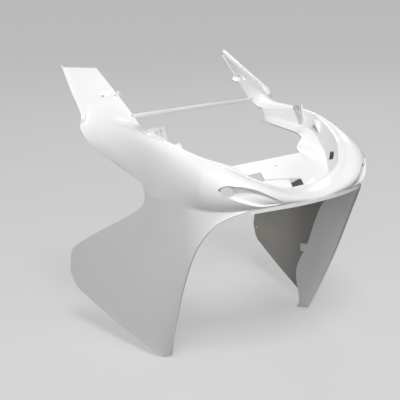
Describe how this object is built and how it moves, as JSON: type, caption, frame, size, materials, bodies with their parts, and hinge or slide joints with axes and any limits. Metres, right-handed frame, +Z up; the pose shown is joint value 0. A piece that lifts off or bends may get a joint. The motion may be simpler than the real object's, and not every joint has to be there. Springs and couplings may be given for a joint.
{
  "type": "motorcycle fairing",
  "caption": "Moulded motorcycle half fairing with an arched front, side panels, upper arms, a dash tray and recessed turn signal openings.",
  "frame": {"origin": "middle of the bounding box at its bottom", "axes": "+X to the rider's left, the nose points along -Y, +Z up as on the machine"},
  "size_m": [0.5852, 0.618, 0.6295],
  "materials": {
    "fairing_cowl": "gloss white, unpainted inside"
  },
  "bodies": {
    "root": {"fairing_cowl": "fairing_cowl"}
  },
  "joints": []
}
